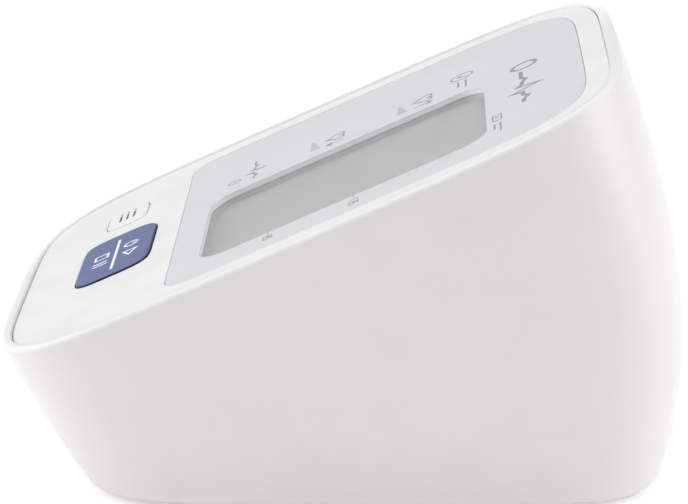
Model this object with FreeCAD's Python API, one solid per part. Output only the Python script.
import FreeCAD, Part
import math
import os

from FreeCAD import Placement, Rotation, Vector

# Upper arm blood pressure monitor, compact, four AA cells.
# Units: millimetres. +X is the user's right, +Y the back, +Z up.
# The origin is on the table, under the middle of the case.

# Overall shape of the case
FOOT_PROUD = 0.6            # the rubber feet lift the case this far
BASE_Z = FOOT_PROUD         # underside of the case
FACE_TILT = 24.15           # slope of the face, degrees
FACE_Z = 56.07 + BASE_Z     # height of the face's own zero, which lies in the rim plane
FACE_Y = 0.385              # where that zero lies, front to back
CASE_Y = 0.18               # shift of the case's front and back lines
FRONT_LINE = ((-48.15, 0.0), (-56.95, 11.76), (-64.65, 26.23))
REAR_LINE = ((60.17, 0.0), (68.60, 26.22), (63.19, 50.47), (52.16, 78.60))
PAST_RIM = 1.08             # the loft runs this far past its last outline
HALF_WIDTH_BASE = 47.83     # half width of the case at the base
HALF_WIDTH_MID = 51.04      # control value of its bulge
HALF_WIDTH_RIM = 52.66      # half width at the rim
SQUARENESS_BASE = 5.80      # exponent of the plan outline at the base
SQUARENESS_RIM = 4.71       # and at the rim
BASE_ROUND = 3.75           # rounding round the base
RIM_ROUND = 1.1             # rounding round the rim
WALL_BASE = 2.4             # wall thickness at the base
WALL_RIM = 3.6              # and at the rim
FLOOR = 2.4                 # floor thickness
FLOOR_Z = BASE_Z + FLOOR

# Face plate, panel and window, in the face's own frame: x, v up the slope, h into the case
PLATE_MID_V = -7.28
PLATE_HALF_X = 50.9
PLATE_HALF_V = 61.4
PLATE_SQUARENESS = 5.3
PLATE_H = (0.5, 2.5)        # top and underside of the face plate
PLATE_EDGE = 0.25           # rounding of its edge
PLATE_GAP = 0.15
PANEL_MID_V = -6.85
PANEL_HALF_X = 45.27
PANEL_V = (-35.57, 49.23)
PANEL_H = (0.53, 1.5)       # top and underside of the display panel
PANEL_SQUARENESS = 6.2
PANEL_CORNER = 6.0
POCKET_FLOOR = 1.2          # thickness of the plate under the panel
POCKET_GAP = 0.12
WINDOW_X = (-8.72, 35.30)
WINDOW_V = (-29.42, 29.06)
WINDOW_CORNER = 6.0

# Keys
START_AT = (1.95, -49.05)
START_HALF = (14.6, 7.85)
START_SQUARENESS = (8.0, 3.4)
START_PROUD = 0.4
START_POST_R = 2.2
MEMORY_AT = (-27.0, -49.25)
MEMORY_HALF = (6.2, 4.4)
MEMORY_SQUARENESS = (4.5, 4.5)
MEMORY_PROUD = 0.25
MEMORY_POST_R = 1.9
KEY_GAP = 0.25
KEY_WALL = 1.3
KEY_EDGE = 0.35             # rounding of a key's upper edge
KEY_FLANGE = 1.2            # how far a key's flange reaches past its cap
KEY_FLANGE_H = (2.65, 3.65)
STEM_TOP_H = 5.7
SWITCH_TOP_H = 7.0
SWITCH_HALF = 3.0
STEM_R = 1.7

# Board and display stack, h below the rim plane
BOARD_H = 10.5
BOARD_THICK = 1.6
BOARD_BACK_H = BOARD_H + BOARD_THICK
BOARD_SCREWS = ((-31.0, 27.0), (-31.0, -33.0), (29.5, -51.5))
LENS_MARGIN = 1.4
GLASS_X = (-12.4, 39.0)
GLASS_V = (-33.0, 33.0)
HOLDER_WALL = 2.0
HOLDER_H = (2.8, BOARD_H)
CHAMBER_TOP_H = 3.6
CHAMBER_GAP = 0.2
POLARISER_H = (3.62, 3.82)
FRONT_GLASS_H = (3.82, 4.92)
REAR_GLASS_H = (4.92, 6.02)
REFLECTOR_H = (6.02, 6.17)
CONTACT_LEDGE = 3.2
CHIP_AT = (8.0, 2.0)
CHIP_HALF = 6.0
LEAD_R = 0.55               # radius of the insulated leads

# Battery bay and cover
CELL_R = 7.1
CELL_LENGTH = 49.5
CELL_NUB = (2.75, 1.0)      # radius and height of the positive button
CELL_PITCH = 14.7
CELLS = 4
BAY_MID_Y = -6.0
BAY_HALF_X = 28.6
BAY_HALF_Y = CELLS * CELL_PITCH / 2 + 0.3
COVER_THICK = 2.0
COVER_GAP = 0.3
COVER_LEDGE = 2.0
BAY_TOP_Z = BASE_Z + COVER_THICK + 0.4 + 2 * CELL_R + 0.5
BAY_WALL = 1.6
CELL_Z = BASE_Z + COVER_THICK + 0.5 + CELL_R
CONTACT_THICK = 0.4
SPRING_R = 3.0
SPRING_WIRE = 0.4
COVER_HALF_X = BAY_HALF_X + COVER_LEDGE
COVER_Y = (BAY_MID_Y - BAY_HALF_Y - COVER_LEDGE, BAY_MID_Y + BAY_HALF_Y + COVER_LEDGE)
HINGE_Y = COVER_Y[1] + COVER_GAP / 2
HINGE_X = (-17.0, 17.0)
HINGE_HOOK_WIDE = 6.0
HINGE_HOOK_R = (2.3, 3.5)   # inside and outside of the curved hinge hooks
HINGE_HOOK_REACH = 1.2      # how far a hook reaches behind the hinge line
LATCH_HALF_X = 6.0
LATCH_DEEP = 3.0
LATCH_HIGH = 7.0
LATCH_LEAF = 0.9

# Fixings
CASE_SCREWS = ((38.5, -34.0, 21.0), (-38.5, -34.0, 21.0), (38.5, 42.0, 44.0), (-38.5, 42.0, 44.0))
POST_R = 3.2
BOSS_R = 4.0
SCREW_R = 1.2
SCREW_HEAD = (2.6, 1.8)
SCREW_GRIP = 12.0
SEAT_BELOW_JOINT = 4.0
FEET = ((36.8, -24.0), (-36.8, -24.0), (36.0, 52.0), (-36.0, 52.0))
FOOT_R = 3.2
FOOT_SUNK = 1.0

# Air system
MANIFOLD_Y = 20.0
MANIFOLD_Z = 34.0
MANIFOLD_X = (-32.5, -6.0)
MANIFOLD_R = 2.6
NIPPLE_R = 1.5
TUBE_R = 2.2
TUBE_BORE = 1.55
SENSOR_X = -28.0
VALVE_X = -14.0
PUMP_TUBE_X = -22.0
PUMP_TUBE_Z = 21.6
JACK_BORE_R = 3.0
JACK_BORE_LENGTH = 11.0
JACK_MOUTH_X = -51.2
JACK_R = 7.0
VALVE_TRAVEL = 0.8

# Pump, lying along X behind the battery bay
PUMP_Y = 44.0
PUMP_Z = 16.4
MOTOR_R = 12.0
MOTOR_X = (-4.0, 24.0)
HEAD_X = (-24.0, -19.8)
CRANK_X = (-9.6, -6.2)
SHAFT_R = 1.0
CRANK_THROW = 2.0
CUSHION_X = (3.0, 17.0)
CUSHION_WIDE = 4.0
CUSHION_R = 13.2
TERMINAL_OFFSET = 7.0

# Power inlet in the rear wall
INLET_X = 28.8
INLET_Z = 14.0
INLET_BORE_R = 2.1
INLET_PIN_R = 0.8
INLET_PIN_ROOT_R = 0.6
INLET_PIN_TIP = 0.8         # the pin ends this far inside the mouth
INLET_MOUTH_Y = 62.2
INLET_SNOUT_R = 4.6
INLET_DEEP = 9.5

SIN = math.sin(math.radians(FACE_TILT))
COS = math.cos(math.radians(FACE_TILT))
FACE = Placement(Vector(0, FACE_Y, FACE_Z), Rotation(Vector(1, 0, 0), FACE_TILT))
UP = Vector(0, 0, 1)


# ---------------------------------------------------------------- helpers

def placed(shape, placement):
    """A copy of shape moved by placement."""
    result = shape.copy()
    result.Placement = placement.multiply(result.Placement)
    return result


def on_face(shape):
    """Moves a shape from the face's own frame (z = -h) to the case's frame."""
    return placed(shape, FACE)


def face_point(x, v, h):
    return FACE.multVec(Vector(x, v, -h))


def block(x, y, z):
    """A box from three (low, high) pairs."""
    return Part.makeBox(x[1] - x[0], y[1] - y[0], z[1] - z[0], Vector(x[0], y[0], z[0]))


def slab(x, v, h):
    """A box in the face's own frame, with h measured down from the rim plane."""
    return block(x, v, (-h[1], -h[0]))


def rod(radius, start, direction, length):
    return Part.makeCylinder(radius, length, start, direction)


def face_rod(radius, x, v, h):
    return rod(radius, Vector(x, v, -h[1]), UP, h[1] - h[0])


def oval_reach(across, along, powers):
    """How far out |across r|^m + |along r|^n = 1 is met, found by halving."""
    low = 0.0
    high = 1 / max(across, along)
    for _ in range(50):
        middle = (low + high) / 2
        if (across * middle) ** powers[0] + (along * middle) ** powers[1] > 1:
            high = middle
        else:
            low = middle
    return low


def squared_oval(half_x, half_y, powers, centre=Vector(), long_way=Vector(0, 1, 0), count=64):
    """A closed smooth outline |x/a|^m + |y/b|^n = 1 in the plane of X and long_way."""
    points = []
    for index in range(count):
        turn = 2 * math.pi * index / count
        across = math.cos(turn)
        along = math.sin(turn)
        reach = oval_reach(abs(across) / half_x, abs(along) / half_y, powers)
        points.append(centre + Vector(reach * across, 0, 0) + long_way * (reach * along))
    curve = Part.BSplineCurve()
    curve.interpolate(Points=points, PeriodicFlag=True, Parameters=list(range(count + 1)))
    return Part.Wire([curve.toShape()])


def oval_slab(half_x, half_v, powers, h, centre):
    """A flat piece of squared-oval outline, between two depths under the rim plane."""
    outline = squared_oval(half_x, half_v, powers, Vector(centre[0], centre[1], -h[1]))
    return Part.Face(outline).extrude(Vector(0, 0, h[1] - h[0]))


def rounded_slab(x, v, h, radius):
    """A box in the face's frame with its four upright edges rounded."""
    solid = slab(x, v, h)
    upright = [edge for edge in solid.Edges if abs(edge.tangentAt(edge.FirstParameter).z) > 0.9]
    return solid.makeFillet(radius, upright)


def edges_in_plane(shape, point, normal, tolerance=0.02):
    """The edges of shape that lie wholly in a plane."""
    found = []
    for edge in shape.Edges:
        samples = [edge.valueAt(edge.FirstParameter + part * edge_span(edge)) for part in (0, 0.3, 0.7, 1)]
        if all(abs((sample - point).dot(normal)) < tolerance for sample in samples):
            found.append(edge)
    return found


def edge_span(edge):
    return edge.LastParameter - edge.FirstParameter


def rounded_path(points, share=0.45):
    """Straight runs through the points, joined by tangent arcs."""
    edges = []
    start = points[0]
    for before, corner, after in zip(points, points[1:], points[2:]):
        arriving = corner - before
        leaving = after - corner
        turn = arriving.getAngle(leaving)
        cut = share * min(arriving.Length, leaving.Length)
        arriving.normalize()
        leaving.normalize()
        inward = leaving - arriving
        inward.normalize()
        radius = cut / math.tan(turn / 2)
        first = corner - arriving * cut
        last = corner + leaving * cut
        middle = corner + inward * (radius / math.cos(turn / 2) - radius)
        edges.append(Part.LineSegment(start, first).toShape())
        edges.append(Part.Arc(first, middle, last).toShape())
        start = last
    edges.append(Part.LineSegment(start, points[-1]).toShape())
    return Part.Wire(edges)


def swept(points, radius):
    """A round bar along a rounded path."""
    path = rounded_path(points)
    profile = Part.Wire([Part.makeCircle(radius, points[0], points[1] - points[0])])
    return path.makePipeShell([profile], True, False)


def hose(points, outer, inner):
    return swept(points, outer).cut(swept(points, inner))


def group(shapes):
    return Part.makeCompound(shapes)


# ---------------------------------------------------------------- case

def front_profile(s):
    """The case's front line, from the base (s = 0) to the rim (s = 1)."""
    return blend_points(FRONT_LINE, ((1 - s) ** 2, 2 * s * (1 - s), s * s))


def rear_profile(s):
    """The case's back line, from the base (s = 0) to the rim (s = 1)."""
    weights = ((1 - s) ** 3, 3 * s * (1 - s) ** 2, 3 * s * s * (1 - s), s ** 3)
    return blend_points(REAR_LINE, weights)


def blend_points(stations, weights):
    y = sum(weight * station[0] for weight, station in zip(weights, stations))
    z = sum(weight * station[1] for weight, station in zip(weights, stations))
    return Vector(0, y + CASE_Y, z + BASE_Z)


def case_section(s, inset):
    """The case's outline in the plane through its front and back lines at s."""
    front = front_profile(s)
    rear = rear_profile(s)
    along = rear - front
    half_length = along.Length / 2
    along.normalize()
    half_width = (
        (1 - s) ** 2 * HALF_WIDTH_BASE + 2 * s * (1 - s) * HALF_WIDTH_MID + s * s * HALF_WIDTH_RIM
    )
    power = SQUARENESS_BASE + s * (SQUARENESS_RIM - SQUARENESS_BASE)
    middle = (front + rear) / 2
    return squared_oval(half_width - inset, half_length - inset, (power, power), middle, along)


def case_loft(inset_base, inset_rim):
    """A solid through seven outlines, running a little past the rim plane."""
    outlines = []
    for step in range(7):
        s = PAST_RIM * step / 6
        inset = inset_base + (inset_rim - inset_base) * s
        outlines.append(case_section(s, inset))
    return Part.makeLoft(outlines, True, False)


def below_rim(reach=200.0, depth=200.0):
    return on_face(slab((-reach, reach), (-reach, reach), (0, depth)))


def case_block():
    """The outside of the case as one block, rounded round the base and the rim."""
    solid = case_loft(0, 0).common(below_rim())
    base_edges = edges_in_plane(solid, Vector(0, 0, BASE_Z), UP)
    solid = solid.makeFillet(BASE_ROUND, base_edges)
    normal = Vector(0, -SIN, COS)
    rim_edges = edges_in_plane(solid, Vector(0, FACE_Y, FACE_Z), normal)
    return solid.makeFillet(RIM_ROUND, rim_edges)


def case_hollow():
    """The inside of the tub, down to its floor."""
    above_floor = block((-80, 80), (-100, 100), (FLOOR_Z, 120))
    return case_loft(WALL_BASE, WALL_RIM).common(above_floor)


def plate_outline(grow, h):
    powers = (PLATE_SQUARENESS, PLATE_SQUARENESS)
    return oval_slab(PLATE_HALF_X + grow, PLATE_HALF_V + grow, powers, h, (0.0, PLATE_MID_V))


def bay_frame():
    """The battery bay's walls and roof, and the thicker seat round its mouth."""
    walls = block(
        (-BAY_HALF_X - BAY_WALL, BAY_HALF_X + BAY_WALL),
        (BAY_MID_Y - BAY_HALF_Y - BAY_WALL, BAY_MID_Y + BAY_HALF_Y + BAY_WALL),
        (BASE_Z + 1, BAY_TOP_Z + BAY_WALL),
    )
    seat_edge = COVER_GAP + 1.6
    seat = block(
        (-COVER_HALF_X - seat_edge, COVER_HALF_X + seat_edge),
        (COVER_Y[0] - seat_edge, COVER_Y[1] + seat_edge),
        (BASE_Z + 1, BASE_Z + 5.6),
    )
    latch_box = block(
        (-LATCH_HALF_X - 2.0, LATCH_HALF_X + 2.0),
        (COVER_Y[0] - LATCH_DEEP - 2.4, COVER_Y[0] + 1),
        (BASE_Z + 1, BASE_Z + LATCH_HIGH + 3.2),
    )
    return walls.fuse([seat, latch_box])


def bay_openings():
    """What is cut from the case for the cells, the cover, its hinge hooks and its latch."""
    hollow = block(
        (-BAY_HALF_X, BAY_HALF_X),
        (BAY_MID_Y - BAY_HALF_Y, BAY_MID_Y + BAY_HALF_Y),
        (BASE_Z - 1, BAY_TOP_Z),
    )
    lid_seat = block(
        (-COVER_HALF_X - COVER_GAP, COVER_HALF_X + COVER_GAP),
        (COVER_Y[0] - COVER_GAP, COVER_Y[1] + COVER_GAP),
        (BASE_Z - 1, BASE_Z + COVER_THICK + 0.1),
    )
    latch_pocket = block(
        (-LATCH_HALF_X - 0.5, LATCH_HALF_X + 0.5),
        (COVER_Y[0] - LATCH_DEEP - 1.0, COVER_Y[0] + LATCH_LEAF + 0.3),
        (BASE_Z - 1, BASE_Z + LATCH_HIGH + 1.6),
    )
    cuts = [hollow, lid_seat, latch_pocket]
    for x in HINGE_X:
        across = (x - HINGE_HOOK_WIDE / 2 - 0.5, x + HINGE_HOOK_WIDE / 2 + 0.5)
        cuts.append(block(across, (HINGE_Y - 4.0, HINGE_Y + 2.0), (BASE_Z + 1.8, BASE_Z + 5.0)))
    for y in (cell_y(0), cell_y(CELLS - 1)):
        slot = block((BAY_HALF_X - 1.0, BAY_HALF_X), (y - 2.5, y + 2.5), (BAY_TOP_Z - 1, BAY_TOP_Z + 4))
        cuts.append(slot)
    return cuts


def case_bosses(outside):
    """Screw bosses that stand on the floor, each tied to the side wall by a web."""
    solids = []
    for x, y, top in CASE_SCREWS:
        solids.append(rod(BOSS_R, Vector(x, y, BASE_Z + 1), UP, top - BASE_Z - 1))
        wall_x = math.copysign(60, x)
        web = block(sorted((x, wall_x)), (y - 0.8, y + 0.8), (BASE_Z + 1, top - 3))
        solids.append(web.common(outside))
    return solids


def case_boss_holes():
    solids = []
    for x, y, top in CASE_SCREWS:
        seat = top - SEAT_BELOW_JOINT
        solids.append(rod(SCREW_HEAD[0] + 0.3, Vector(x, y, BASE_Z - 1), UP, seat - BASE_Z + 1))
        solids.append(rod(SCREW_R + 0.4, Vector(x, y, seat - 1), UP, SEAT_BELOW_JOINT + 2))
    return solids


def pump_cradles():
    """Two ribs on the floor, hollowed to hold the pump's cushions."""
    ribs = []
    for x in CUSHION_X:
        rib = block(
            (x + 0.5, x + CUSHION_WIDE - 0.5), (PUMP_Y - 13.6, PUMP_Y + 13.6), (BASE_Z + 1, PUMP_Z)
        )
        hollow = rod(CUSHION_R + 0.02, Vector(x - 1, PUMP_Y, PUMP_Z), Vector(1, 0, 0), CUSHION_WIDE + 2)
        ribs.append(rib.cut(hollow))
    return ribs


def inlet_hole():
    """A round hole through the rear wall, with a wider recess for the plug's collar."""
    start = Vector(INLET_X, INLET_MOUTH_Y - 6, INLET_Z)
    through = rod(INLET_SNOUT_R + 0.15, start, Vector(0, 1, 0), 12)
    recess = rod(INLET_SNOUT_R + 1.2, Vector(INLET_X, INLET_MOUTH_Y, INLET_Z), Vector(0, 1, 0), 6)
    return through.fuse(recess)


def jack_hole():
    start = Vector(JACK_MOUTH_X - 3, MANIFOLD_Y, MANIFOLD_Z)
    return rod(JACK_R + 0.1, start, Vector(1, 0, 0), 12)


def foot_pockets():
    return [rod(FOOT_R + 0.05, Vector(x, y, BASE_Z - 1), UP, 1 + FOOT_SUNK) for x, y in FEET]


def body_shell():
    outside = case_block()
    shell = outside.cut(case_hollow())
    inside = [bay_frame()] + case_bosses(outside) + pump_cradles()
    shell = shell.fuse(inside)
    cuts = bay_openings() + case_boss_holes() + foot_pockets()
    cuts.append(on_face(plate_outline(PLATE_GAP, (-3, PLATE_H[1]))))
    cuts.append(inlet_hole())
    cuts.append(jack_hole())
    return shell.cut(cuts)


# ---------------------------------------------------------------- face

def panel_outline(grow, h):
    """The display panel's outline: square at the front, a broad squared oval at the back."""
    half_v = PANEL_V[1] - PANEL_MID_V + grow
    powers = (PANEL_SQUARENESS, PANEL_SQUARENESS)
    broad = oval_slab(PANEL_HALF_X + grow, half_v, powers, h, (0.0, PANEL_MID_V))
    reach = 90.0
    front = rounded_slab(
        (-PANEL_HALF_X - grow, PANEL_HALF_X + grow), (PANEL_V[0] - grow, reach), h, PANEL_CORNER + grow
    )
    return broad.common(front)


def window_outline(grow, h):
    x = (WINDOW_X[0] - grow, WINDOW_X[1] + grow)
    v = (WINDOW_V[0] - grow, WINDOW_V[1] + grow)
    return rounded_slab(x, v, h, WINDOW_CORNER + grow)


def start_outline(grow, h):
    return oval_slab(START_HALF[0] + grow, START_HALF[1] + grow, START_SQUARENESS, h, START_AT)


def memory_outline(grow, h):
    return oval_slab(MEMORY_HALF[0] + grow, MEMORY_HALF[1] + grow, MEMORY_SQUARENESS, h, MEMORY_AT)


def face_plate():
    skin = plate_outline(0, PLATE_H)
    top_edges = edges_in_plane(skin, Vector(0, 0, -PLATE_H[0]), UP)
    skin = skin.makeFillet(PLATE_EDGE, top_edges)
    tray = panel_outline(1.0, (1.0, PANEL_H[1] + POCKET_FLOOR))
    plate = skin.fuse(tray)
    board_posts = [face_rod(2.4, x, v, (PLATE_H[1] - 0.5, BOARD_H)) for x, v in BOARD_SCREWS]
    plate = plate.fuse(board_posts)
    cuts = [panel_outline(POCKET_GAP, (-1, PANEL_H[1]))]
    cuts.append(window_outline(LENS_MARGIN + 0.1, (1, 8)))
    cuts.append(start_outline(KEY_GAP, (-1, PLATE_H[1] + 1)))
    cuts.append(memory_outline(KEY_GAP, (-1, PLATE_H[1] + 1)))
    cuts += [face_rod(0.95, x, v, (BOARD_H - 6, BOARD_H + 1)) for x, v in BOARD_SCREWS]
    plate = on_face(plate.cut(cuts))
    return plate.fuse(plate_posts()).removeSplitter()


def plate_posts():
    """Upright posts under the plate that take the case screws."""
    solids = []
    for x, y, joint in CASE_SCREWS:
        post = rod(POST_R, Vector(x, y, joint + 0.2), UP, 80)
        post = post.common(on_face(slab((-80, 80), (-90, 90), (PLATE_H[1] - 0.2, 90))))
        pilot = rod(SCREW_R + 0.05, Vector(x, y, joint - 1), UP, SCREW_GRIP)
        solids.append(post.cut(pilot))
    return solids


def display_panel():
    return on_face(panel_outline(0, PANEL_H).cut(window_outline(0, (0, 5))))


def display_window():
    lens_h = (PANEL_H[1] + 0.02, PANEL_H[1] + POCKET_FLOOR)
    return on_face(window_outline(LENS_MARGIN, lens_h))


def lcd_holder():
    """A frame that drops over the glass and stands on the board."""
    x = (GLASS_X[0] - CHAMBER_GAP, GLASS_X[1] + CHAMBER_GAP)
    v = (GLASS_V[0] - CHAMBER_GAP, GLASS_V[1] + CHAMBER_GAP)
    outer_x = (x[0] - HOLDER_WALL, x[1] + HOLDER_WALL)
    outer_v = (v[0] - HOLDER_WALL, v[1] + HOLDER_WALL)
    frame = rounded_slab(outer_x, outer_v, HOLDER_H, 1.0)
    chamber = slab(x, v, (CHAMBER_TOP_H, BOARD_H + 1))
    mouth = window_outline(1.0, (HOLDER_H[0] - 1, CHAMBER_TOP_H + 1))
    rest = slab((GLASS_X[1] - 2.0, GLASS_X[1] + 0.5), GLASS_V, (REFLECTOR_H[1] + 0.03, BOARD_H))
    return on_face(frame.cut([chamber, mouth]).fuse(rest))


def lcd_polariser():
    x = (GLASS_X[0] + 0.9, GLASS_X[1] - 0.9)
    v = (GLASS_V[0] + 1.0, GLASS_V[1] - 1.0)
    return on_face(slab(x, v, POLARISER_H))


def lcd_front_glass():
    return on_face(slab(GLASS_X, GLASS_V, FRONT_GLASS_H))


def lcd_rear_glass():
    return on_face(slab((GLASS_X[0] + CONTACT_LEDGE, GLASS_X[1]), GLASS_V, REAR_GLASS_H))


def lcd_reflector():
    x = (GLASS_X[0] + CONTACT_LEDGE + 0.6, GLASS_X[1] - 0.6)
    v = (GLASS_V[0] + 0.8, GLASS_V[1] - 0.8)
    return on_face(slab(x, v, REFLECTOR_H))


def contact_strip():
    """The elastomer strip that joins the glass's contact ledge to the board."""
    x = (GLASS_X[0] + 0.3, GLASS_X[0] + CONTACT_LEDGE - 0.3)
    return on_face(slab(x, (-30.0, 30.0), (FRONT_GLASS_H[1], BOARD_H)))


# ---------------------------------------------------------------- keys and switches

def key_cap(outline, centre, proud, post_r):
    """A hollow cap with a flange that keeps it under the plate, and a post for the switch."""
    top = PLATE_H[0] - proud
    cap = outline(0, (top, KEY_FLANGE_H[1]))
    top_edges = edges_in_plane(cap, Vector(0, 0, -top), UP)
    cap = cap.makeFillet(KEY_EDGE, top_edges)
    cap = cap.fuse(outline(KEY_FLANGE, KEY_FLANGE_H))
    cap = cap.cut(outline(-KEY_WALL, (top + KEY_WALL, KEY_FLANGE_H[1] + 1)))
    post = face_rod(post_r, centre[0], centre[1], (top + KEY_WALL - 0.3, STEM_TOP_H))
    return on_face(cap.fuse(post).removeSplitter())


def start_stop_button():
    return key_cap(start_outline, START_AT, START_PROUD, START_POST_R)


def memory_button():
    return key_cap(memory_outline, MEMORY_AT, MEMORY_PROUD, MEMORY_POST_R)


def switch_body(centre):
    x = (centre[0] - SWITCH_HALF, centre[0] + SWITCH_HALF)
    v = (centre[1] - SWITCH_HALF, centre[1] + SWITCH_HALF)
    body = slab(x, v, (SWITCH_TOP_H, BOARD_H))
    well = face_rod(STEM_R + 0.05, centre[0], centre[1], (SWITCH_TOP_H - 1, SWITCH_TOP_H + 1.7))
    return on_face(body.cut(well))


def switch_stem(centre):
    return on_face(face_rod(STEM_R, centre[0], centre[1], (STEM_TOP_H, SWITCH_TOP_H + 0.9)))


def switch_bodies():
    return group([switch_body(START_AT), switch_body(MEMORY_AT)])


def start_stop_switch_stem():
    return switch_stem(START_AT)


def memory_switch_stem():
    return switch_stem(MEMORY_AT)


# ---------------------------------------------------------------- board

def main_board():
    front = slab((-34.0, 34.0), (-57.0, -37.0), (BOARD_H, BOARD_BACK_H))
    back = slab((-35.5, 41.5), (-37.5, 35.4), (BOARD_H, BOARD_BACK_H))
    board = front.fuse(back).removeSplitter()
    holes = [face_rod(1.3, x, v, (BOARD_H - 1, BOARD_BACK_H + 1)) for x, v in BOARD_SCREWS]
    return on_face(board.cut(holes))


def board_screws():
    solids = []
    for x, v in BOARD_SCREWS:
        head = face_rod(2.2, x, v, (BOARD_BACK_H, BOARD_BACK_H + 1.4))
        shank = face_rod(0.9, x, v, (BOARD_H - 5, BOARD_BACK_H + 0.2))
        cross_h = (BOARD_BACK_H + 0.7, BOARD_BACK_H + 2)
        cross = slab((x - 1.1, x + 1.1), (v - 0.2, v + 0.2), cross_h)
        cross = cross.fuse(slab((x - 0.2, x + 0.2), (v - 1.1, v + 1.1), cross_h))
        solids.append(on_face(head.fuse(shank).cut(cross)))
    return group(solids)


def microcontroller():
    x = (CHIP_AT[0] - CHIP_HALF, CHIP_AT[0] + CHIP_HALF)
    v = (CHIP_AT[1] - CHIP_HALF, CHIP_AT[1] + CHIP_HALF)
    chip = slab(x, v, (BOARD_BACK_H + 0.1, BOARD_BACK_H + 1.6))
    mark = face_rod(0.6, x[0] + 1.5, v[0] + 1.5, (BOARD_BACK_H + 1.4, BOARD_BACK_H + 2))
    return on_face(chip.cut(mark))


def chip_leads():
    """Flat leads along the chip's four sides."""
    solids = []
    lead_h = (BOARD_BACK_H, BOARD_BACK_H + 0.3)
    for index in range(8):
        offset = (index - 3.5) * 1.3
        for side in (-1, 1):
            span = sorted((side * CHIP_HALF, side * (CHIP_HALF + 1.4)))
            along_x = (CHIP_AT[0] + span[0], CHIP_AT[0] + span[1])
            along_v = (CHIP_AT[1] + span[0], CHIP_AT[1] + span[1])
            across_v = (CHIP_AT[1] + offset - 0.25, CHIP_AT[1] + offset + 0.25)
            across_x = (CHIP_AT[0] + offset - 0.25, CHIP_AT[0] + offset + 0.25)
            solids.append(on_face(slab(along_x, across_v, lead_h)))
            solids.append(on_face(slab(across_x, along_v, lead_h)))
    return group(solids)


def chip_resistors():
    solids = []
    span_h = (BOARD_BACK_H, BOARD_BACK_H + 0.6)
    for row in range(2):
        for index in range(6):
            x = -6.0 + 4.0 * index
            v = -16.0 - 4.0 * row
            solids.append(on_face(slab((x - 1.0, x + 1.0), (v - 0.6, v + 0.6), span_h)))
    return group(solids)


def capacitors():
    places = ((24.0, -14.0), (24.0, -24.0))
    return group([on_face(face_rod(3.15, x, v, (BOARD_BACK_H, BOARD_BACK_H + 7.0))) for x, v in places])


# ---------------------------------------------------------------- air system

def manifold_in_face():
    """The manifold's axis in the face's own frame: v and h."""
    local = FACE.inverse().multVec(Vector(0, MANIFOLD_Y, MANIFOLD_Z))
    return local.y, -local.z


def pressure_sensor():
    v, h = manifold_in_face()
    body = slab((SENSOR_X - 4.0, SENSOR_X + 4.0), (v - 4.0, v + 4.0), (BOARD_BACK_H, BOARD_BACK_H + 5.0))
    port = face_rod(NIPPLE_R, SENSOR_X, v, (BOARD_BACK_H + 4.5, h - MANIFOLD_R - 3.6))
    way = face_rod(0.6, SENSOR_X, v, (BOARD_BACK_H + 3.0, h))
    return on_face(body.fuse(port).cut(way))


def valve_body():
    """The exhaust valve's bobbin, with its orifice nozzle."""
    v, h = manifold_in_face()
    top = BOARD_BACK_H
    flange_top = face_rod(6.0, VALVE_X, v, (top, top + 1.2))
    core = face_rod(2.9, VALVE_X, v, (top, top + 8.4))
    flange_low = face_rod(6.0, VALVE_X, v, (top + 6.8, top + 8.4))
    nozzle = face_rod(NIPPLE_R, VALVE_X, v, (top + 8.0, h - MANIFOLD_R - 3.4))
    bore = face_rod(2.05, VALVE_X, v, (top + 1.2, top + 7.6))
    orifice = face_rod(0.6, VALVE_X, v, (top + 7.0, h))
    return on_face(flange_top.fuse([core, flange_low, nozzle]).cut([bore, orifice]))


def valve_coil():
    v = manifold_in_face()[0]
    coil_h = (BOARD_BACK_H + 1.25, BOARD_BACK_H + 6.75)
    return on_face(face_rod(5.6, VALVE_X, v, coil_h).cut(face_rod(2.95, VALVE_X, v, (0, 40))))


def valve_plunger():
    """The steel plunger that closes the orifice; it rests open."""
    v = manifold_in_face()[0]
    low = BOARD_BACK_H + 7.6 - VALVE_TRAVEL - 0.1
    return on_face(face_rod(2.0, VALVE_X, v, (BOARD_BACK_H + 1.3, low)))


def air_manifold():
    """A moulded bar with nipples for the air jack, the sensor, the valve and the pump."""
    v, h = manifold_in_face()
    axis_at = Vector(MANIFOLD_X[0], MANIFOLD_Y, MANIFOLD_Z)
    along = Vector(1, 0, 0)
    bar = rod(MANIFOLD_R, axis_at, along, MANIFOLD_X[1] - MANIFOLD_X[0])
    to_jack = rod(NIPPLE_R, axis_at - along * 3.2, along, 5)
    down = Vector(PUMP_TUBE_X, MANIFOLD_Y, MANIFOLD_Z)
    to_pump = rod(NIPPLE_R, down, -UP, MANIFOLD_R + 3.2)
    risers = [on_face(face_rod(NIPPLE_R, x, v, (h - MANIFOLD_R - 3.0, h))) for x in (SENSOR_X, VALVE_X)]
    solid = bar.fuse([to_jack, to_pump] + risers)
    ways = [rod(0.8, axis_at - along * 4, along, MANIFOLD_X[1] - MANIFOLD_X[0] + 2)]
    ways.append(rod(0.8, down, -UP, 8))
    ways += [on_face(face_rod(0.8, x, v, (h - 8, h))) for x in (SENSOR_X, VALVE_X)]
    return solid.cut(ways)


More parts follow.
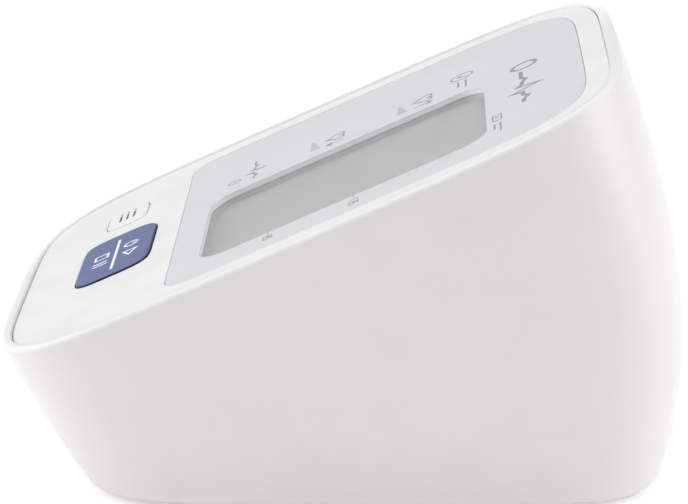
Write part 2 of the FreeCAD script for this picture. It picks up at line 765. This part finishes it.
def air_tubes():
    """Silicone tubes: jack, sensor and valve to the manifold, and manifold to pump."""
    v, h = manifold_in_face()
    solids = []
    jack_end = Vector(JACK_MOUTH_X + JACK_BORE_LENGTH + 1.6, MANIFOLD_Y, MANIFOLD_Z)
    jack_run = MANIFOLD_X[0] - 0.1 - jack_end.x
    straight = rod(TUBE_R, jack_end, Vector(1, 0, 0), jack_run)
    solids.append(straight.cut(rod(TUBE_BORE, jack_end, Vector(1, 0, 0), jack_run)))
    tops = ((SENSOR_X, BOARD_BACK_H + 5.1), (VALVE_X, BOARD_BACK_H + 8.5))
    for x, top in tops:
        span = (top, h - MANIFOLD_R - 0.15)
        solids.append(on_face(face_rod(TUBE_R, x, v, span).cut(face_rod(TUBE_BORE, x, v, span))))
    route = [
        Vector(PUMP_TUBE_X, MANIFOLD_Y, MANIFOLD_Z - MANIFOLD_R - 0.15),
        Vector(PUMP_TUBE_X, MANIFOLD_Y, PUMP_TUBE_Z),
        Vector(PUMP_TUBE_X, PUMP_Y - MOTOR_R - 0.1, PUMP_TUBE_Z),
    ]
    solids.append(hose(route, TUBE_R, TUBE_BORE))
    return group(solids)


def air_jack():
    """The socket in the left wall that the cuff's air plug pushes into."""
    along = Vector(1, 0, 0)
    mouth = Vector(JACK_MOUTH_X, MANIFOLD_Y, MANIFOLD_Z)
    body = rod(JACK_R, mouth, along, JACK_BORE_LENGTH + 1.4)
    flange = rod(JACK_R + 1.8, mouth + along * 4.2, along, 1.6)
    nipple = rod(NIPPLE_R, mouth + along * (JACK_BORE_LENGTH + 1), along, 3.0)
    solid = body.fuse([flange, nipple])
    bore = rod(JACK_BORE_R, mouth - along, along, JACK_BORE_LENGTH + 1)
    way = rod(0.8, mouth, along, 30)
    solid = solid.cut([bore, way])
    lip = [edge for edge in solid.Edges if abs(edge.CenterOfMass.x - JACK_MOUTH_X) < 0.01]
    outer = [edge for edge in lip if edge.BoundBox.YLength > 2 * JACK_BORE_R + 1]
    return solid.makeFillet(0.4, outer)


# ---------------------------------------------------------------- pump

def pump_motor():
    """The motor's can, with a boss at each end for the shaft."""
    along = Vector(1, 0, 0)
    start = Vector(MOTOR_X[0], PUMP_Y, PUMP_Z)
    length = MOTOR_X[1] - MOTOR_X[0]
    can = rod(MOTOR_R, start, along, length)
    ends = [edge for edge in can.Edges if edge.BoundBox.XLength < 0.01]
    can = can.makeFillet(1.0, ends)
    boss = rod(3.0, start + along * (length - 0.5), along, 2.0)
    way = rod(SHAFT_R + 0.04, start - along, along, length + 0.5)
    return can.fuse(boss).cut(way)


def motor_terminals():
    solids = []
    x = MOTOR_X[1]
    for z in (PUMP_Z - TERMINAL_OFFSET, PUMP_Z + TERMINAL_OFFSET):
        solids.append(block((x, x + 2.4), (PUMP_Y - 0.9, PUMP_Y + 0.9), (z - 0.2, z + 0.2)))
    return group(solids)


def motor_shaft():
    along = Vector(1, 0, 0)
    start = Vector(CRANK_X[0] + 0.6, PUMP_Y, PUMP_Z)
    return rod(SHAFT_R, start, along, MOTOR_X[1] - 2.0 - start.x)


def pump_crank():
    """A disc pressed on the shaft, with an offset pin that drives the diaphragm."""
    along = Vector(1, 0, 0)
    start = Vector(CRANK_X[0], PUMP_Y, PUMP_Z)
    disc = rod(5.0, start, along, CRANK_X[1] - CRANK_X[0])
    pin = rod(0.9, start - along * 2.2 + Vector(0, 0, CRANK_THROW), along, 3)
    way = rod(SHAFT_R, start + along * 0.6, along, 10)
    return disc.fuse(pin).cut(way)


def pump_housing():
    half = MOTOR_R
    case = block((HEAD_X[1], MOTOR_X[0]), (PUMP_Y - half, PUMP_Y + half), (PUMP_Z - half, PUMP_Z + half))
    upright = [edge for edge in case.Edges if abs(edge.tangentAt(edge.FirstParameter).x) > 0.9]
    case = case.makeFillet(3.0, upright)
    along = Vector(1, 0, 0)
    room = rod(10.8, Vector(HEAD_X[1] - 1, PUMP_Y, PUMP_Z), along, MOTOR_X[0] - 1.6 - HEAD_X[1] + 1)
    way = rod(3.0, Vector(HEAD_X[1], PUMP_Y, PUMP_Z), along, 30)
    return case.cut([room, way])


def pump_driver():
    """The plate that the crank pin rocks; its cup leaves the pin room to go round."""
    along = Vector(1, 0, 0)
    plate = rod(9.0, Vector(-14.6, PUMP_Y, PUMP_Z), along, 1.6)
    cup = rod(4.4, Vector(-13.2, PUMP_Y, PUMP_Z), along, 3.0)
    well = rod(CRANK_THROW + 1.2, Vector(-12.2, PUMP_Y, PUMP_Z), along, 5)
    return plate.fuse(cup).cut(well)


def pump_diaphragm():
    """A rubber sheet with three bellows cups."""
    along = Vector(1, 0, 0)
    sheet = rod(10.6, Vector(HEAD_X[1] + 0.02, PUMP_Y, PUMP_Z), along, 0.9)
    cups = []
    for index in range(3):
        turn = 2 * math.pi * index / 3
        at = Vector(HEAD_X[1] + 0.5, PUMP_Y + 5.6 * math.sin(turn), PUMP_Z + 5.6 * math.cos(turn))
        cups.append(rod(3.4, at, along, -14.65 - at.x))
    return sheet.fuse(cups)


def pump_head():
    half = MOTOR_R
    cap = block(HEAD_X, (PUMP_Y - half, PUMP_Y + half), (PUMP_Z - half, PUMP_Z + half))
    upright = [edge for edge in cap.Edges if abs(edge.tangentAt(edge.FirstParameter).x) > 0.9]
    cap = cap.makeFillet(3.0, upright)
    outlet = Vector(PUMP_TUBE_X, PUMP_Y - half + 0.5, PUMP_TUBE_Z)
    nozzle = rod(NIPPLE_R, outlet, Vector(0, -1, 0), 4.2)
    way = rod(0.7, outlet + Vector(0, 6, 0), Vector(0, -1, 0), 12)
    return cap.fuse(nozzle).cut(way)


def pump_cushions():
    solids = []
    for x in CUSHION_X:
        start = Vector(x, PUMP_Y, PUMP_Z)
        ring = rod(CUSHION_R, start, Vector(1, 0, 0), CUSHION_WIDE)
        solids.append(ring.cut(rod(MOTOR_R + 0.02, start, Vector(1, 0, 0), CUSHION_WIDE)))
    return group(solids)


# ---------------------------------------------------------------- power

def power_inlet():
    """The DC socket: a square body with a round snout in the rear wall."""
    back = Vector(0, 1, 0)
    body_y = (INLET_MOUTH_Y - 12.5, INLET_MOUTH_Y - 4.2)
    body = block((INLET_X - 4.6, INLET_X + 4.6), body_y, (INLET_Z - 5.0, INLET_Z + 5.0))
    snout = rod(INLET_SNOUT_R, Vector(INLET_X, INLET_MOUTH_Y - 5, INLET_Z), back, 5)
    well_start = Vector(INLET_X, INLET_MOUTH_Y - INLET_DEEP, INLET_Z)
    well = rod(INLET_BORE_R, well_start, back, INLET_DEEP + 1)
    seat = rod(INLET_PIN_ROOT_R, well_start - back * 1.5, back, 2)
    return body.fuse(snout).cut([well, seat])


def power_inlet_pin():
    """The pin in the socket, on a thinner root that sits in the socket's back."""
    back = Vector(0, 1, 0)
    shoulder = Vector(INLET_X, INLET_MOUTH_Y - INLET_DEEP + 0.3, INLET_Z)
    tip_y = INLET_MOUTH_Y - INLET_PIN_TIP
    pin = rod(INLET_PIN_R, shoulder, back, tip_y - shoulder.y)
    tip = [edge for edge in pin.Edges if abs(edge.CenterOfMass.y - tip_y) < 0.01]
    pin = pin.makeFillet(0.3, tip)
    return pin.fuse(rod(INLET_PIN_ROOT_R, shoulder - back * 1.8, back, 2))


def cell_y(index):
    return BAY_MID_Y + (index - (CELLS - 1) / 2) * CELL_PITCH


def cell_way(index):
    """+1 where the cell's positive end points to +X."""
    return 1 if index % 2 == 0 else -1


def aa_cells():
    solids = []
    for index in range(CELLS):
        way = cell_way(index)
        axis = Vector(way, 0, 0)
        positive_wall = BAY_HALF_X - CONTACT_THICK - 0.3
        nub_end = Vector(way * positive_wall, cell_y(index), CELL_Z)
        can_end = nub_end - axis * CELL_NUB[1]
        can = rod(CELL_R, can_end - axis * CELL_LENGTH, axis, CELL_LENGTH)
        rims = [edge for edge in can.Edges if edge.BoundBox.XLength < 0.01]
        can = can.makeFillet(0.8, rims)
        solids.append(can.fuse(rod(CELL_NUB[0], can_end - axis * 0.2, axis, CELL_NUB[1] + 0.2)))
    return group(solids)


def battery_springs():
    """One open coil at each cell's negative end."""
    solids = []
    for index in range(CELLS):
        way = -cell_way(index)
        room = 2 * BAY_HALF_X - 2 * CONTACT_THICK - 0.3 - CELL_NUB[1] - CELL_LENGTH
        height = room - 2 * SPRING_WIRE - 0.2
        coil = Part.makeHelix(height / 3, height, SPRING_R)
        profile = Part.Wire([Part.makeCircle(SPRING_WIRE, Vector(SPRING_R, 0, 0), Vector(0, 1, 0))])
        spring = Part.Wire(coil).makePipeShell([profile], True, True)
        turn = Rotation(Vector(0, 1, 0), -90 * way)
        base = Vector(way * (BAY_HALF_X - CONTACT_THICK - SPRING_WIRE - 0.1), cell_y(index), CELL_Z)
        solids.append(placed(spring, Placement(base, turn)))
    return group(solids)


def contact_plate(way, y, high=12.0, wide=11.0):
    x = sorted((way * BAY_HALF_X, way * (BAY_HALF_X - CONTACT_THICK)))
    return block(x, (y - wide / 2, y + wide / 2), (CELL_Z - high / 2, CELL_Z + high / 2))


def battery_link_plates():
    """Plates that join one cell's spring to the next cell's button."""
    solids = []
    for first, way in ((0, -1), (2, -1), (1, 1)):
        middle = (cell_y(first) + cell_y(first + 1)) / 2
        solids.append(contact_plate(way, middle, wide=CELL_PITCH + 11.0))
    return group(solids)


def terminal_plate(index):
    y = cell_y(index)
    tail_x = (BAY_HALF_X - CONTACT_THICK, BAY_HALF_X)
    tail = block(tail_x, (y - 2.0, y + 2.0), (CELL_Z, BAY_TOP_Z + BAY_WALL + 2.4))
    return contact_plate(1, y).fuse(tail).removeSplitter()


def positive_terminal():
    return terminal_plate(0)


def negative_terminal():
    return terminal_plate(CELLS - 1)


def hinge_hook(x):
    """A hook curved about the hinge line, which holds the lid's edge over the case's."""
    across = Vector(1, 0, 0)
    start = Vector(x - HINGE_HOOK_WIDE / 2, HINGE_Y, BASE_Z)
    ring = rod(HINGE_HOOK_R[1], start, across, HINGE_HOOK_WIDE)
    ring = ring.cut(rod(HINGE_HOOK_R[0], start, across, HINGE_HOOK_WIDE))
    keep = block((x - 9, x + 9), (HINGE_Y - 9, HINGE_Y + HINGE_HOOK_REACH), (BASE_Z + 1, BASE_Z + 9))
    return ring.common(keep)


def battery_cover():
    """The lid under the cells, with two hinge hooks, ribs and a folded latch spring."""
    lid = block((-COVER_HALF_X, COVER_HALF_X), COVER_Y, (BASE_Z, BASE_Z + COVER_THICK))
    corners = [edge for edge in lid.Edges if abs(edge.tangentAt(edge.FirstParameter).z) > 0.9]
    lid = lid.makeFillet(1.5, corners)
    grips = []
    for index in range(5):
        y = COVER_Y[0] + 4.0 + 2.2 * index
        grips.append(block((-9.0, 9.0), (y, y + 0.9), (BASE_Z - 1, BASE_Z + 0.4)))
    lid = lid.cut(grips)
    tabs = [hinge_hook(x) for x in HINGE_X]
    top = BASE_Z + LATCH_HIGH
    x = (-LATCH_HALF_X, LATCH_HALF_X)
    rear_leaf = block(x, (COVER_Y[0], COVER_Y[0] + LATCH_LEAF), (BASE_Z + 1, top))
    bridge = block(x, (COVER_Y[0] - LATCH_DEEP + 0.2, COVER_Y[0] + LATCH_LEAF), (top - LATCH_LEAF, top))
    front_y = COVER_Y[0] - LATCH_DEEP + 0.2
    front_leaf = block(x, (front_y, front_y + LATCH_LEAF), (BASE_Z + 0.4, top))
    return lid.fuse(tabs + [rear_leaf, bridge, front_leaf]).removeSplitter()


# ---------------------------------------------------------------- fixings and leads

def rubber_feet():
    solids = []
    for x, y in FEET:
        foot = rod(FOOT_R, Vector(x, y, 0), UP, FOOT_PROUD + FOOT_SUNK)
        low = [edge for edge in foot.Edges if abs(edge.CenterOfMass.z) < 0.01]
        solids.append(foot.makeFillet(0.3, low))
    return group(solids)


def case_screws():
    solids = []
    for x, y, joint in CASE_SCREWS:
        seat = joint - SEAT_BELOW_JOINT
        head = rod(SCREW_HEAD[0], Vector(x, y, seat - SCREW_HEAD[1]), UP, SCREW_HEAD[1])
        shank = rod(SCREW_R, Vector(x, y, seat - 0.2), UP, SCREW_GRIP + 0.2)
        low = seat - SCREW_HEAD[1]
        slots = [block((x - 1.5, x + 1.5), (y - 0.3, y + 0.3), (low - 1, low + 1))]
        slots.append(block((x - 0.3, x + 0.3), (y - 1.5, y + 1.5), (low - 1, low + 1)))
        solids.append(head.fuse(shank).cut(slots))
    return group(solids)


def lead_to_board(points, x, v, drop=8.0):
    """A lead through the points that meets the board's underside squarely at (x, v)."""
    approach = face_point(x, v, BOARD_BACK_H + drop)
    return swept(points + [approach, face_point(x, v, BOARD_BACK_H + 0.02)], LEAD_R)


def pump_leads():
    """Two leads from the motor up to the board."""
    x = MOTOR_X[1] + 2.95
    low = Vector(x, PUMP_Y, PUMP_Z - TERMINAL_OFFSET)
    high = Vector(x, PUMP_Y, PUMP_Z + TERMINAL_OFFSET)
    low_route = [low, low + Vector(2.6, -1, 5), Vector(x + 2.0, 36, 36)]
    high_route = [high, high + Vector(1.2, -1, 5), Vector(x - 0.5, 36, 40)]
    return group([lead_to_board(low_route, 29.0, 26.0), lead_to_board(high_route, 25.5, 26.0)])


def inlet_leads():
    """Two leads from the power inlet up to the board."""
    solids = []
    for x, low in ((INLET_X + 2.2, -2.5), (INLET_X + 3.9, 2.5)):
        start = Vector(x, INLET_MOUTH_Y - 12.8, INLET_Z + low)
        route = [start, start + Vector(0, -5, 3), Vector(x + 0.5, 38, 36)]
        solids.append(lead_to_board(route, x + 1.0, 18.0))
    return group(solids)


def battery_leads():
    """Two leads from the cell terminals' tails up to the board."""
    solids = []
    tail_top = BAY_TOP_Z + BAY_WALL + 2.0
    for index, v, drop in ((0, -33.5, 3.5), (CELLS - 1, 7.0, 12.0)):
        start = Vector(BAY_HALF_X + LEAD_R + 0.05, cell_y(index), tail_top - 1.2)
        knee = start + Vector(1.6, 0, 3.0)
        solids.append(lead_to_board([start, knee], 31.5, v, drop))
    return group(solids)


# ---------------------------------------------------------------- all nodes

NODES = [
    body_shell,
    face_plate,
    display_panel,
    display_window,
    lcd_holder,
    lcd_polariser,
    lcd_front_glass,
    lcd_rear_glass,
    lcd_reflector,
    contact_strip,
    start_stop_button,
    memory_button,
    switch_bodies,
    start_stop_switch_stem,
    memory_switch_stem,
    main_board,
    board_screws,
    microcontroller,
    chip_leads,
    chip_resistors,
    capacitors,
    pressure_sensor,
    valve_body,
    valve_coil,
    valve_plunger,
    air_manifold,
    air_tubes,
    air_jack,
    pump_motor,
    motor_terminals,
    motor_shaft,
    pump_crank,
    pump_housing,
    pump_driver,
    pump_diaphragm,
    pump_head,
    pump_cushions,
    power_inlet,
    power_inlet_pin,
    aa_cells,
    battery_springs,
    battery_link_plates,
    positive_terminal,
    negative_terminal,
    battery_cover,
    rubber_feet,
    case_screws,
    pump_leads,
    inlet_leads,
    battery_leads,
]


def main():
    os.makedirs("parts", exist_ok=True)
    for build in NODES:
        shape = build()
        box = shape.BoundBox
        size = (round(box.XLength, 2), round(box.YLength, 2), round(box.ZLength, 2))
        print(build.__name__, len(shape.Solids), shape.isValid(), size, round(shape.Volume, 1))
        shape.exportStep("parts/" + build.__name__ + ".step")


main()
